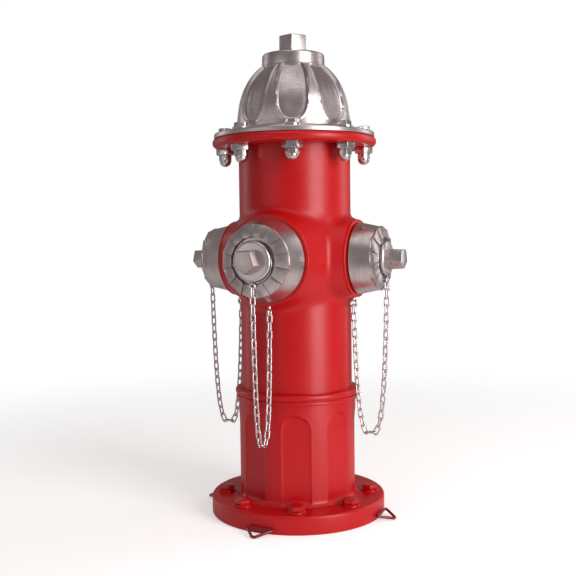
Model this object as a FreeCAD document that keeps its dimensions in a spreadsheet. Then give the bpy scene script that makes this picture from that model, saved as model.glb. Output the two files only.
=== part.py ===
"""Dry-barrel fire hydrant, above-ground section. Millimetres.

The origin is on the ground at the barrel's axis, +Z up. The front outlet faces -Y and the two side
outlets face -X and +X. Threads are plain cylinders at their outside diameter.
"""
import FreeCAD
import Part
import math
import os
import re
import Sketcher

from FreeCAD import Placement, Rotation, Vector

doc = FreeCAD.newDocument("fire_hydrant")

# ---------------------------------------------------------------- driving dimensions
DIMENSIONS = {
    # barrel, from the ground up
    "foot_radius": 139.7, "foot_top": 29.0, "foot_edge": 2.0,
    "inlet_radius": 70.0, "ledge_level": 12.0,
    "barrel_radius": 88.9, "bore_radius": 79.9,
    "lower_radius": 94.1, "spigot_radius": 90.0,
    "panel_flat": 90.4, "panel_width": 44.0, "panel_arch": 152.0,
    "ring_radius": 99.3, "ring_bottom": 182.0, "ring_top": 202.0, "barrel_joint": 190.5,
    "gasket_thickness": 1.5, "ring_gap": 0.05,
    "flange_radius": 130.3, "flange_bottom": 583.9, "flange_top": 598.3, "flange_edge": 6.0,
    # bonnet
    "bonnet_radius": 127.5, "bonnet_flange_top": 606.3, "dome_radius": 90.0, "dome_level": 628.0,
    "dome_rise": 100.0, "dome_wall": 8.0, "crown_level": 710.0, "flute_depth": 4.5,
    "flute_radius": 76.0, "flute_level": 663.0, "flute_length": 96.0, "flute_width": 46.0,
    "flute_lean": 20.0, "hub_radius": 42.0, "hub_bottom": 664.0,
    # operating nut and hold-down collar
    "nut_shaft_radius": 17.0, "running_gap": 0.05, "thrust_radius": 26.0, "thrust_bottom": 684.0,
    "thrust_top": 692.0, "washer_thickness": 3.0, "collar_radius": 49.8, "collar_top": 730.0,
    "nut_corner_radius": 22.8, "nut_base": 731.0, "nut_top": 760.0, "nut_bore_top": 748.0,
    "thrust_gap": 0.3, "seal_bottom": 700.0, "seal_height": 4.0, "seal_radius": 21.0,
    # stem and main valve
    "stem_radius": 12.0, "stem_bottom": 20.0, "stem_break": 300.0, "stem_top": 700.0,
    "coupling_radius": 18.0, "coupling_half": 20.0, "coupling_pin_radius": 3.0,
    "coupling_pin_offset": 10.0, "seat_top": 44.0, "seat_throat": 62.0, "seat_seal_height": 3.0,
    "seal_inset": 1.0,
    "valve_radius": 70.0, "valve_height": 22.0, "plate_radius": 58.0, "plate_height": 12.0,
    "lower_plate_radius": 56.0, "lower_plate_height": 10.0, "valve_nut_radius": 21.0,
    "valve_nut_height": 12.0, "guide_bottom": 118.0, "guide_height": 12.0, "guide_hole_radius": 17.0,
    "guide_hole_ring": 50.0,
    # flange fasteners
    "foot_bolt_ring": 116.5, "foot_shank_radius": 7.9, "foot_hole_radius": 8.5,
    "foot_bolt_end": 6.0, "bonnet_bolt_ring": 110.6, "bonnet_shank_radius": 6.3,
    "bonnet_hole_radius": 6.8, "bonnet_bolt_end": 561.0,
    "head_corner_radius": 13.9, "head_height": 10.0, "washer_radius": 14.5, "washer_height": 2.5,
    "hex_nut_corner_radius": 15.8, "hex_nut_height": 10.0, "cap_nut_radius": 10.2,
    "cap_nut_height": 18.5,
    # outlets, measured outward from the barrel's axis
    "outlet_level": 408.0, "neck_root": 30.0, "neck_start": 55.0, "lip_height": 4.0,
    "side_neck_start_radius": 81.5, "side_neck_end_radius": 59.0, "side_neck_end": 108.0,
    "side_lip_radius": 60.8, "side_neck_bore": 43.0, "side_thread_radius": 38.9,
    "side_outlet_bore": 31.75, "side_cap_back": 111.0, "side_cap_back_radius": 55.9,
    "side_cap_front": 145.0, "side_cap_front_radius": 49.0, "side_cap_end": 182.0,
    "side_cap_nut_radius": 17.5, "side_boss_radius": 27.0, "side_chain_bottom": 131.0,
    "front_neck_start_radius": 91.0, "front_neck_end_radius": 67.5, "front_neck_end": 108.0,
    "front_lip_radius": 69.3, "front_neck_bore": 50.5, "front_thread_radius": 46.0,
    "front_outlet_bore": 38.1, "front_cap_back": 111.0, "front_cap_back_radius": 64.4,
    "front_cap_front": 144.0, "front_cap_front_radius": 54.0, "front_cap_end": 183.5,
    "front_cap_nut_radius": 20.0, "front_boss_radius": 30.5, "front_chain_bottom": 127.0,
    "nozzle_inner_end": 84.0, "nozzle_outer_end": 134.0, "nozzle_collar": 2.5,
    "nozzle_collar_step": 7.0, "nozzle_seal_height": 1.5, "nozzle_seal_step": 4.0,
    "cap_gasket_height": 3.0, "thread_gap": 0.4, "cap_nut_length": 24.5, "boss_length": 6.0,
    "groove_length": 6.5, "groove_depth": 7.2, "face_step": 6.0,
    # chains and their fittings
    "chain_wire_radius": 1.25, "link_pitch": 12.4, "link_play": 0.7, "link_width": 9.8,
    "chain_ring_wire": 1.5, "chain_ring_inset": 2.0, "chain_ring_drop": 3.2,
    "ring_eye_radius": 3.9, "ring_eye_reach": 2.7, "ring_eye_drop": 6.2,
    "eye_wire": 2.0, "eye_radius": 5.0, "eye_shank_radius": 2.5, "eye_shank_depth": 11.0,
    "eye_reach": 99.0, "eye_gap": 0.7, "hook_gap": 0.2, "bend_spread": 3.4,
    # peg loops
    "peg_wire_radius": 2.2, "peg_half_width": 23.0, "peg_bar_level": 9.0, "peg_reach": 169.0,
}
COUNT = 8                     # bolts in each flange, flutes and panels
PITCH_ANGLE = 360 / COUNT
HALF_PITCH = PITCH_ANGLE / 2  # bolts, flutes and panels straddle the outlets' directions
TWIST_LINKS = 5               # links over which a chain takes up its twist
CHAIN_TWIST = 21              # degrees its links hang out of square with the chain's plane
OUTLETS = {"front": (270, "front"), "left": (180, "side"), "right": (0, "side")}

sheet = doc.addObject("Spreadsheet::Sheet", "Sizes")
for row, (alias, value) in enumerate(DIMENSIONS.items(), start=1):
    sheet.set(f"A{row}", alias)
    sheet.set(f"B{row}", str(value))
    sheet.setAlias(f"B{row}", alias)
doc.recompute()
ALIAS = re.compile(r"\b[a-z]+(?:_[a-z]+)+\b")


def sized(text):
    """A FreeCAD expression with each alias in text read from the sheet."""
    return ALIAS.sub(lambda word: f"Sizes.{word.group(0)}", text)


def value_of(text):
    """The number that an expression of the sheet's aliases works out to."""
    return float(sheet.evalExpression(sized(text)))


def bind(obj, **sizes):
    for name, text in sizes.items():
        obj.setExpression(name, sized(text))
    return obj


def move_to(obj, across="0", along="0", up="0", rotation=None):
    """Places obj at bound coordinates, turned by rotation."""
    if rotation is not None:
        obj.Placement = Placement(Vector(), rotation)
    for axis, text in (("x", across), ("y", along), ("z", up)):
        if text != "0":
            obj.setExpression(f"Placement.Base.{axis}", sized(text))
    return obj


def label(obj, node):
    obj.Label = node
    return obj


# ---------------------------------------------------------------- primitives
def cylinder(radius, bottom, height):
    obj = bind(doc.addObject("Part::Cylinder", "Cylinder"), Radius=radius, Height=height)
    return move_to(obj, up=bottom)


def cone(start_radius, end_radius, bottom, height):
    obj = doc.addObject("Part::Cone", "Cone")
    return move_to(bind(obj, Radius1=start_radius, Radius2=end_radius, Height=height), up=bottom)


def prism(sides, corner_radius, bottom, height):
    obj = doc.addObject("Part::Prism", "Prism")
    obj.Polygon = sides
    return move_to(bind(obj, Circumradius=corner_radius, Height=height), up=bottom)


def fuse(*shapes):
    obj = doc.addObject("Part::MultiFuse", "Fuse")
    obj.Shapes = list(shapes)
    return obj


def cut(base, *tools):
    obj = doc.addObject("Part::Cut", "Cut")
    obj.Base = base
    obj.Tool = tools[0] if len(tools) == 1 else fuse(*tools)
    return obj


def group(*shapes):
    obj = doc.addObject("Part::Compound", "Group")
    obj.Links = list(shapes)
    return obj


def tube(outer, inner, bottom, height):
    return cut(cylinder(outer, bottom, height), cylinder(inner, bottom, height))


def around(make, ring_radius, first=HALF_PITCH, count=COUNT):
    """Copies of make() evenly spaced on a circle, each turned to face outward."""
    copies = []
    for index in range(count):
        angle = first + index * 360 / count
        copy = make()
        copy.Placement = Placement(Vector(), Rotation(Vector(0, 0, 1), angle))
        move_to(copy, f"({ring_radius}) * cos({angle})", f"({ring_radius}) * sin({angle})")
        copies.append(copy)
    return copies


# ---------------------------------------------------------------- turned pieces
def turned(name, profile, round_edges=None):
    """A PartDesign body turned about Z from a closed outline of (radius, height) expressions."""
    body = doc.addObject("PartDesign::Body", f"{name}_body")
    plane = next(item for item in body.Origin.OriginFeatures if item.Role == "XZ_Plane")
    sketch = body.newObject("Sketcher::SketchObject", f"{name}_outline")
    sketch.AttachmentSupport = [(plane, "")]
    sketch.MapMode = "FlatFace"
    corners = [Vector(value_of(radius), value_of(height), 0) for radius, height in profile]
    for start, end in zip(corners, corners[1:] + corners[:1]):
        sketch.addGeometry(Part.LineSegment(start, end), False)
    fix_corners(sketch, profile, corners)
    turn = body.newObject("PartDesign::Revolution", f"{name}_turn")
    turn.Profile = sketch
    turn.ReferenceAxis = (sketch, ["V_Axis"])
    turn.Angle = 360
    if round_edges:
        round_rims(body, turn, *round_edges)
    return body


def fix_corners(sketch, profile, corners):
    """Joins the outline's lines and ties each corner's radius and height to the sheet."""
    last = len(corners) - 1
    for index in range(len(corners)):
        following = 0 if index == last else index + 1
        sketch.addConstraint(Sketcher.Constraint("Coincident", index, 2, following, 1))
    for index, (radius, height) in enumerate(profile):
        for kind, text, start in (("DistanceX", radius, corners[index].x),
                                  ("DistanceY", height, corners[index].y)):
            name = f"{kind}{index}"
            number = sketch.addConstraint(Sketcher.Constraint(kind, -1, 1, index, 1, start))
            sketch.renameConstraint(number, name)
            sketch.setExpression(f".Constraints.{name}", sized(text))


def round_rims(body, turn, edge_radius, rims):
    """Fillets the circular edges at the given (radius, height) expressions."""
    doc.recompute()
    wanted = [(value_of(radius), value_of(height)) for radius, height in rims]
    names = []
    for number, edge in enumerate(turn.Shape.Edges, start=1):
        if not isinstance(edge.Curve, Part.Circle):
            continue
        for radius, height in wanted:
            if abs(edge.Curve.Radius - radius) < 0.01 and abs(edge.Curve.Center.z - height) < 0.01:
                names.append(f"Edge{number}")
    fillet = body.newObject("PartDesign::Fillet", "round_rims")
    fillet.Base = (turn, names)
    bind(fillet, Radius=edge_radius)
    body.Tip = fillet


# ---------------------------------------------------------------- placing along an outlet
def outward_turn(angle):
    """Turns local +Z to the outlet's direction and local +X to straight up."""
    direction = Vector(math.cos(math.radians(angle)), math.sin(math.radians(angle)), 0)
    upward = Vector(0, 0, 1)
    return Rotation(upward, direction.cross(upward), direction, "ZXY")


def outward(obj, angle, start="0"):
    """Places obj on the outlet's axis, start away from the barrel's axis."""
    obj.Placement = Placement(Vector(), outward_turn(angle))
    return move_to(obj, f"({start}) * cos({angle})", f"({start}) * sin({angle})", "outlet_level")


# ---------------------------------------------------------------- barrel
def base_flange():
    disc = turned("base_flange", [
        ("inlet_radius", "0"), ("foot_radius", "0"), ("foot_radius", "foot_top"),
        ("spigot_radius", "foot_top"), ("spigot_radius", "ledge_level"),
        ("inlet_radius", "ledge_level")],
        ("foot_edge", [("foot_radius", "foot_top"), ("foot_radius", "0")]))
    holes = around(lambda: cylinder("foot_hole_radius", "0", "foot_top"), "foot_bolt_ring")
    return label(cut(disc, *holes), "base_flange")


def panel_cutter():
    """A round-topped slot with a flat floor, facing local +X."""
    slab = bind(doc.addObject("Part::Box", "Slab"), Length="lower_radius - panel_flat + 5",
                Width="panel_width", Height="panel_arch - panel_width / 2 - foot_top - foot_edge")
    move_to(slab, along="-panel_width / 2", up="foot_top + foot_edge")
    arch = bind(doc.addObject("Part::Cylinder", "Arch"), Radius="panel_width / 2",
                Height="lower_radius - panel_flat + 5")
    move_to(arch, up="panel_arch - panel_width / 2", rotation=Rotation(Vector(0, 1, 0), 90))
    return fuse(slab, arch)


def lower_barrel():
    pipe = turned("lower_barrel", [
        ("bore_radius", "ledge_level"), ("spigot_radius - ring_gap", "ledge_level"),
        ("spigot_radius - ring_gap", "foot_top"), ("lower_radius", "foot_top"),
        ("lower_radius", "ring_bottom"), ("barrel_radius", "ring_bottom"),
        ("barrel_radius", "barrel_joint"), ("bore_radius", "barrel_joint")])
    return label(cut(pipe, *around(panel_cutter, "panel_flat")), "lower_barrel")


def joint_ring():
    return label(turned("joint_ring", [
        ("barrel_radius + ring_gap", "ring_bottom"), ("ring_radius", "ring_bottom"),
        ("ring_radius", "ring_top"), ("barrel_radius + ring_gap", "ring_top")],
        ("foot_edge * 2", [("ring_radius", "ring_bottom"), ("ring_radius", "ring_top")])),
        "joint_ring")


def barrel_gasket():
    gasket = tube("barrel_radius - ring_gap", "bore_radius", "barrel_joint", "gasket_thickness")
    return label(gasket, "barrel_gasket")


def upper_barrel():
    start = "barrel_joint + gasket_thickness"
    solids = [cylinder("barrel_radius", start, f"flange_top - ({start})")]
    solids.append(turned("top_flange", [
        ("bore_radius", "flange_bottom"), ("flange_radius", "flange_bottom"),
        ("flange_radius", "flange_top"), ("bore_radius", "flange_top")],
        ("flange_edge", [("flange_radius", "flange_bottom"), ("flange_radius", "flange_top")])))
    holes = [cylinder("bore_radius", start, f"flange_top - ({start})")]
    holes += around(lambda: cylinder("bonnet_hole_radius", "flange_bottom",
                                     "flange_top - flange_bottom"), "bonnet_bolt_ring")
    for angle, kind in OUTLETS.values():
        length = f"{kind}_neck_end - neck_start"
        neck = cone(f"{kind}_neck_start_radius", f"{kind}_neck_end_radius", "0", length)
        solids.append(outward(neck, angle, "neck_start"))
        root = cylinder(f"{kind}_neck_start_radius", "0", "neck_start - neck_root")
        solids.append(outward(root, angle, "neck_root"))
        lip = cylinder(f"{kind}_lip_radius", "0", "lip_height")
        solids.append(outward(lip, angle, f"{kind}_neck_end - lip_height"))
        bore = cylinder(f"{kind}_neck_bore", "0", length)
        holes.append(outward(bore, angle, "neck_start"))
        recess = cylinder(f"{kind}_neck_bore + nozzle_seal_step", "0", "nozzle_seal_height")
        holes.append(outward(recess, angle, f"{kind}_neck_end - nozzle_seal_height"))
        shank = cylinder("eye_shank_radius", f"{eye_level(kind)} + eye_radius",
                         "eye_shank_depth")
        holes.append(at_reach(shank, angle))
    return label(cut(fuse(*solids), *holes), "upper_barrel")


def eye_level(kind):
    """Height of the chain's screw eye, hung just below the tapering neck."""
    start, end = f"{kind}_neck_start_radius", f"{kind}_neck_end_radius"
    taper = f"({start} - {end}) * (eye_reach - neck_start) / ({kind}_neck_end - neck_start)"
    return f"(outlet_level - {start} + {taper} - eye_radius - eye_wire - eye_gap)"


def at_reach(obj, angle):
    """Moves obj to where the chain's eye screws into the neck."""
    return move_to(obj, f"eye_reach * cos({angle})", f"eye_reach * sin({angle})")


# ---------------------------------------------------------------- bonnet
def ellipsoid(inset):
    """The dome's curve above the level where it starts, set in by inset."""
    obj = doc.addObject("Part::Ellipsoid", "Ellipsoid")
    bind(obj, Radius1=f"dome_rise - {inset}", Radius2=f"dome_radius - {inset}",
         Radius3=f"dome_radius - {inset}")
    obj.Angle1 = 0
    return move_to(obj, up="dome_level")


def flute_cutter():
    """One egg-shaped flute, facing local +X and leaning in with the dome's side."""
    obj = doc.addObject("Part::Ellipsoid", "Flute")
    bind(obj, Radius1="flute_length / 2", Radius2="flute_width", Radius3="flute_width / 2")
    obj.Angle1 = -90
    lean = Rotation(Vector(0, 1, 0), -DIMENSIONS["flute_lean"])
    return group(move_to(obj, up="flute_level", rotation=lean))


def bonnet():
    bottom = "flange_top + gasket_thickness"
    dome = cut(ellipsoid("0"), cylinder("dome_radius + 10", "crown_level", "dome_rise"))
    outside = fuse(cylinder("bonnet_radius", bottom, f"bonnet_flange_top - ({bottom})"),
                   cylinder("dome_radius", bottom, f"dome_level - ({bottom})"), dome)
    flutes = cut(fuse(*around(flute_cutter, "flute_radius")), ellipsoid("flute_depth"),
                 cylinder("dome_radius - flute_depth", bottom, f"dome_level - ({bottom})"))
    inside = fuse(ellipsoid("dome_wall"),
                  cylinder("dome_radius - dome_wall", bottom, f"dome_level - ({bottom})"))
    holes = around(lambda: cylinder("bonnet_hole_radius", bottom,
                                    f"bonnet_flange_top - ({bottom})"), "bonnet_bolt_ring")
    hub = cylinder("hub_radius", "hub_bottom", "crown_level - hub_bottom")
    shell = fuse(cut(outside, flutes, inside, *holes), hub)
    seat = "thrust_bottom - washer_thickness"
    return label(cut(shell,
                     cylinder("nut_shaft_radius + running_gap", "hub_bottom",
                              "crown_level - hub_bottom"),
                     cylinder("thrust_radius + thrust_gap", seat, f"crown_level - ({seat})")),
                 "bonnet")


def bonnet_gasket():
    gasket = tube("bonnet_bolt_ring - 10", "dome_radius - dome_wall", "flange_top",
                  "gasket_thickness")
    return label(gasket, "bonnet_gasket")


def thrust_washer():
    washer = tube("thrust_radius", "nut_shaft_radius + thrust_gap",
                  "thrust_bottom - washer_thickness", "washer_thickness - running_gap")
    return label(washer, "thrust_washer")


def bonnet_collar():
    bore = "nut_shaft_radius + running_gap"
    spigot = "thrust_radius + thrust_gap - ring_gap"
    foot = "thrust_top + running_gap"
    return label(turned("bonnet_collar", [
        (bore, foot), (spigot, foot), (spigot, "crown_level"), ("collar_radius", "crown_level"),
        ("collar_radius", "collar_top"), (bore, "collar_top"),
        (bore, "seal_bottom + seal_height"), ("seal_radius", "seal_bottom + seal_height"),
        ("seal_radius", "seal_bottom"), (bore, "seal_bottom")],
        ("foot_edge * 2", [("collar_radius", "collar_top")])), "bonnet_collar")


def nut_seal():
    seal = tube("seal_radius - ring_gap", "nut_shaft_radius + running_gap", "seal_bottom",
                "seal_height")
    return label(seal, "nut_seal")


# ---------------------------------------------------------------- fasteners
def fasteners(node, make, ring_radius):
    return label(group(*around(make, ring_radius)), node)


def base_washer():
    return tube("washer_radius", "foot_hole_radius", "foot_top", "washer_height")


def base_bolt():
    return fuse(prism(6, "head_corner_radius", "foot_top + washer_height", "head_height"),
                cylinder("foot_shank_radius", "foot_bolt_end",
                         "foot_top + washer_height - foot_bolt_end"))


def bonnet_bolt():
    return fuse(prism(6, "head_corner_radius", "bonnet_flange_top", "head_height"),
                cylinder("bonnet_shank_radius", "bonnet_bolt_end",
                         "bonnet_flange_top - bonnet_bolt_end"))


def bonnet_nut():
    bottom = "flange_bottom - hex_nut_height"
    return cut(prism(6, "hex_nut_corner_radius", bottom, "hex_nut_height"),
               cylinder("bonnet_shank_radius + ring_gap", bottom, "hex_nut_height"))


def bonnet_cap_nut():
    """A domed nut: a ball's lower half under a plain barrel, with a blind hole."""
    top = "flange_bottom - hex_nut_height"
    ball = bind(doc.addObject("Part::Sphere", "Ball"), Radius="cap_nut_radius")
    move_to(ball, up=f"{top} - cap_nut_height + cap_nut_radius")
    sleeve = cylinder("cap_nut_radius", f"{top} - cap_nut_height + cap_nut_radius",
                      "cap_nut_height - cap_nut_radius")
    above = cylinder("cap_nut_radius", top, "cap_nut_radius")
    hole_end = "bonnet_bolt_end - ring_gap"
    hole = cylinder("bonnet_shank_radius + ring_gap", hole_end, f"{top} - ({hole_end})")
    return cut(fuse(ball, sleeve), above, hole)


# ---------------------------------------------------------------- operating nut, stem and valve
def operating_nut():
    solid = fuse(cylinder("nut_shaft_radius", "hub_bottom", "nut_base - hub_bottom"),
                 cylinder("thrust_radius", "thrust_bottom", "thrust_top - thrust_bottom"),
                 prism(5, "nut_corner_radius", "nut_base", "nut_top - nut_base"))
    hole = cylinder("stem_radius + running_gap", "hub_bottom", "nut_bore_top - hub_bottom")
    return label(cut(solid, hole), "operating_nut")


def coupling_pin_rods(radius):
    """Two rods along X, one above and one below the stem's break."""
    rods = []
    for side in (-1, 1):
        rod = bind(doc.addObject("Part::Cylinder", "Rod"), Radius=radius,
                   Height="2 * coupling_radius")
        rods.append(move_to(rod, across="-coupling_radius",
                            up=f"stem_break + {side} * coupling_pin_offset",
                            rotation=Rotation(Vector(0, 1, 0), 90)))
    return rods


def stem_upper():
    rod = cylinder("stem_radius", "stem_break", "stem_top - stem_break")
    return label(cut(rod, *coupling_pin_rods("coupling_pin_radius + ring_gap")), "stem_upper")


def stem_lower():
    rod = cylinder("stem_radius", "stem_bottom", "stem_break - stem_bottom")
    return label(cut(rod, *coupling_pin_rods("coupling_pin_radius + ring_gap")), "stem_lower")


def stem_coupling():
    sleeve = tube("coupling_radius", "stem_radius + ring_gap", "stem_break - coupling_half",
                  "2 * coupling_half")
    holes = coupling_pin_rods("coupling_pin_radius + ring_gap")
    return label(cut(sleeve, *holes), "stem_coupling")


def coupling_pins():
    return label(group(*coupling_pin_rods("coupling_pin_radius")), "coupling_pins")


def stem_disc(node, radius, bottom, height):
    """A disc of the valve, bored for the stem."""
    return label(tube(radius, "stem_radius + ring_gap", bottom, height), node)


def valve_nut():
    bottom = "seat_top - lower_plate_height - valve_nut_height"
    return label(cut(prism(6, "valve_nut_radius", bottom, "valve_nut_height"),
                     cylinder("stem_radius + ring_gap", bottom, "valve_nut_height")), "valve_nut")


def seat_seal():
    return label(tube("bore_radius - ring_gap", "inlet_radius + seal_inset", "ledge_level",
                      "seat_seal_height"), "seat_seal")


def seat_ring():
    bottom = "ledge_level + seat_seal_height"
    return label(tube("bore_radius - ring_gap", "seat_throat", bottom,
                      f"seat_top - running_gap - ({bottom})"), "seat_ring")


def stem_guide():
    disc = cylinder("bore_radius - ring_gap", "guide_bottom", "guide_height")
    ports = around(lambda: cylinder("guide_hole_radius", "guide_bottom", "guide_height"),
                   "guide_hole_ring", first=0, count=6)
    bore = cylinder("stem_radius + running_gap", "guide_bottom", "guide_height")
    return label(cut(disc, bore, *ports), "stem_guide")


# ---------------------------------------------------------------- outlets
def nozzle(side, angle, kind):
    """A threaded sleeve screwed into the neck, with a collar against the neck's face."""
    bore = f"{kind}_outlet_bore"
    body = f"{kind}_neck_bore - ring_gap"
    collar = f"{kind}_neck_bore + nozzle_collar_step"
    thread = f"{kind}_thread_radius"
    face = f"{kind}_neck_end"
    front = f"{kind}_neck_end + nozzle_collar"
    piece = turned(f"{side}_nozzle", [
        (bore, "nozzle_inner_end"), (body, "nozzle_inner_end"), (body, face), (collar, face),
        (collar, front), (thread, front), (thread, "nozzle_outer_end"),
        (bore, "nozzle_outer_end")])
    return label(outward(piece, angle), f"{side}_nozzle")


def nozzle_seal(side, angle, kind):
    ring = tube(f"{kind}_neck_bore + nozzle_seal_step - ring_gap", f"{kind}_neck_bore",
                f"{kind}_neck_end - nozzle_seal_height", "nozzle_seal_height")
    return label(outward(ring, angle), f"{side}_nozzle_seal")


def cap(side, angle, kind):
    """A hose-nozzle cap: cupped at the back, a groove behind its boss and a five-sided nut."""
    thread = f"{kind}_thread_radius + thread_gap"
    floor = "nozzle_outer_end + running_gap + cap_gasket_height"
    boss_front = f"{kind}_cap_end - cap_nut_length"
    boss_back = f"{boss_front} - boss_length"
    groove_back = f"{boss_back} - groove_length"
    boss = f"{kind}_boss_radius"
    back = f"{kind}_cap_back"
    shell = turned(f"{side}_cap", [
        ("0", floor), (thread, floor), (thread, back), (f"{kind}_cap_back_radius", back),
        (f"{kind}_cap_front_radius", f"{kind}_cap_front"),
        (f"{boss} + face_step", f"{boss_back} - 1.5"), (f"{boss} + face_step - 1.5", groove_back),
        (f"{boss} - groove_depth", groove_back), (f"{boss} - groove_depth", boss_back),
        (boss, boss_back), (boss, boss_front), ("0", boss_front)])
    knob = prism(5, f"{kind}_cap_nut_radius", boss_front, "cap_nut_length")
    move_to(knob, up=boss_front, rotation=Rotation(Vector(0, 0, 1), 36))  # a flat on top
    return label(outward(fuse(shell, knob), angle), f"{side}_cap")


def cap_gasket(side, angle, kind):
    ring = tube(f"{kind}_thread_radius", f"{kind}_outlet_bore", "nozzle_outer_end + running_gap",
                "cap_gasket_height")
    return label(outward(ring, angle), f"{side}_cap_gasket")


# ---------------------------------------------------------------- chains, set in code
def rod_between(start, end, radius):
    run = end - start
    return Part.makeCylinder(radius, run.Length, start, run)


def feature(node, shape):
    obj = doc.addObject("Part::Feature", f"{node}_shape")
    obj.Shape = shape
    return label(obj, node)


def outlet_point(angle, reach, level):
    """A point in the outlet's upright middle plane."""
    return Vector(reach * math.cos(math.radians(angle)), reach * math.sin(math.radians(angle)),
                  level)


def ring_eye(kind):
    """Reach and level of the middle of the chain ring's eye."""
    reach = value_of(f"{kind}_cap_end - cap_nut_length - boss_length + ring_eye_reach")
    return reach, value_of(f"outlet_level - {kind}_boss_radius - ring_eye_drop")


def chain_ring(side, angle, kind):
    """A loop round the boss's groove, hanging low, with an eye under it for the chain."""
    wire = value_of("chain_ring_wire")
    ring_radius = value_of(f"{kind}_boss_radius - chain_ring_inset")
    reach = value_of(f"{kind}_cap_end - cap_nut_length - boss_length - groove_length / 2")
    direction = outlet_point(angle, 1, 0)
    middle = outlet_point(angle, reach, value_of("outlet_level - chain_ring_drop"))
    loop = Part.makeTorus(ring_radius, wire, middle, direction)
    eye_reach, eye_level = ring_eye(kind)
    eye_middle = outlet_point(angle, eye_reach, eye_level)
    eye = Part.makeTorus(value_of("ring_eye_radius"), wire, eye_middle, direction)
    stalk = rod_between(middle - Vector(0, 0, ring_radius),
                        eye_middle + Vector(0, 0, value_of("ring_eye_radius")), 0.85 * wire)
    return feature(f"{side}_chain_ring", loop.fuse([stalk, eye]).removeSplitter())


def chain_eye(side, angle, kind):
    """A screw eye in the neck's underside."""
    reach, level = value_of("eye_reach"), value_of(eye_level(kind))
    middle = outlet_point(angle, reach, level)
    across = outlet_point(angle + 90, 1, 0)
    loop = Part.makeTorus(value_of("eye_radius"), value_of("eye_wire"), middle, across)
    top = Vector(0, 0, value_of("eye_radius"))
    screwed_in = Vector(0, 0, value_of("eye_shank_depth"))
    shank = rod_between(middle + top, middle + top + screwed_in,
                        value_of("eye_shank_radius - ring_gap"))
    return feature(f"{side}_chain_eye", loop.fuse(shank).removeSplitter())


def link(length):
    """One oval link along local Z, its ends' wire centred length / 2 from the middle."""
    wire = value_of("chain_wire_radius")
    bend = value_of("link_width") / 2 - wire
    straight = length / 2 - bend
    pieces = []
    for side in (-1, 1):
        pieces.append(Part.makeCylinder(wire, 2 * straight, Vector(side * bend, 0, -straight)))
        half = Part.makeTorus(bend, wire, Vector(), Vector(0, 0, 1), 0, 360, 180)
        half.Placement = Placement(Vector(0, 0, side * straight),
                                   Rotation(Vector(1, 0, 0), 90 * side))
        pieces.append(half)
    return pieces[0].fuse(pieces[1:]).removeSplitter()


def hanging_curve(span, outer_drop, inner_drop):
    """Sag of the hanging curve whose two sides rise outer_drop and inner_drop over span."""
    low, high = 0.1, span
    for _ in range(60):
        sag = (low + high) / 2
        width = sag * (math.acosh(1 + outer_drop / sag) + math.acosh(1 + inner_drop / sag))
        low, high = (sag, high) if width < span else (low, sag)
    return sag


def chain_pivots(kind):
    """Where the links meet, as (reach, level), from the ring's eye down and up to the screw eye."""
    outer_reach, outer_level = ring_eye(kind)
    outer_level += value_of("chain_ring_wire + hook_gap - link_play / 2 - ring_eye_radius")
    inner_reach = value_of("eye_reach")
    inner_level = value_of(f"{eye_level(kind)} + eye_wire + hook_gap - link_play / 2 - eye_radius")
    bottom = value_of(f"{kind}_chain_bottom")
    outer_drop, inner_drop = outer_level - bottom, inner_level - bottom
    spread = value_of("bend_spread")
    sag = hanging_curve(outer_reach - inner_reach - spread, outer_drop, inner_drop)
    lowest_reach = outer_reach - spread / 2 - sag * math.acosh(1 + outer_drop / sag)
    outer_length = math.sqrt(outer_drop ** 2 + 2 * sag * outer_drop)
    inner_length = math.sqrt(inner_drop ** 2 + 2 * sag * inner_drop)
    count = 2 * round((outer_length + inner_length) / value_of("2 * link_pitch"))
    pitch = (outer_length + inner_length) / count
    pivots = []
    for index in range(count + 1):
        run = outer_length - index * pitch
        pivots.append((lowest_reach + sag * math.asinh(run / sag) + math.copysign(spread / 2, run),
                       bottom + math.hypot(sag, run) - sag))
    return pivots, int(outer_length / pitch)


def link_ends(points, index):
    """Where the wire's middle lies at both ends of a link.

    Every second link lies across the hanging plane. It bears on its neighbours along their length,
    so where the chain turns it follows them and not its own line.
    """
    reach = value_of("link_play / 2 + chain_wire_radius")
    start, end = points[index], points[index + 1]
    before = after = (end - start).normalize()
    if index % 2:
        before = (start - points[index - 1]).normalize()
        if index + 2 < len(points):
            after = (points[index + 2] - end).normalize()
    return start - before * reach, end + after * reach


def chain_links(angle, kind):
    """All the links, each a quarter turn from the one before, and the lowest one's number.

    Between its hooked ends and its lowest link the chain is twisted a little, both strands the
    same way.
    """
    pivots, lowest = chain_pivots(kind)
    points = [outlet_point(angle, reach, level) for reach, level in pivots]
    across = outlet_point(angle + 90, 1, 0)
    last = len(points) - 2
    links = []
    for index in range(last + 1):
        top, foot = link_ends(points, index)
        along = foot - top
        from_end = min(index, abs(index - lowest), last - index)
        side = -1 if index < lowest else 1
        twist = 90 * index + side * CHAIN_TWIST * min(1, from_end / TWIST_LINKS)
        turn = Rotation(along.cross(across), across, along, "ZXY")
        solid = link(along.Length)
        solid.Placement = Placement((top + foot) / 2, turn * Rotation(Vector(0, 0, 1), twist))
        links.append(solid)
    return links, lowest


def chain(side, angle, kind):
    """Both hanging strands; the lowest link belongs to the outer one."""
    links, lowest = chain_links(angle, kind)
    return [feature(f"{side}_chain_outer", Part.makeCompound(links[:lowest + 1])),
            feature(f"{side}_chain_inner", Part.makeCompound(links[lowest + 1:]))]


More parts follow.
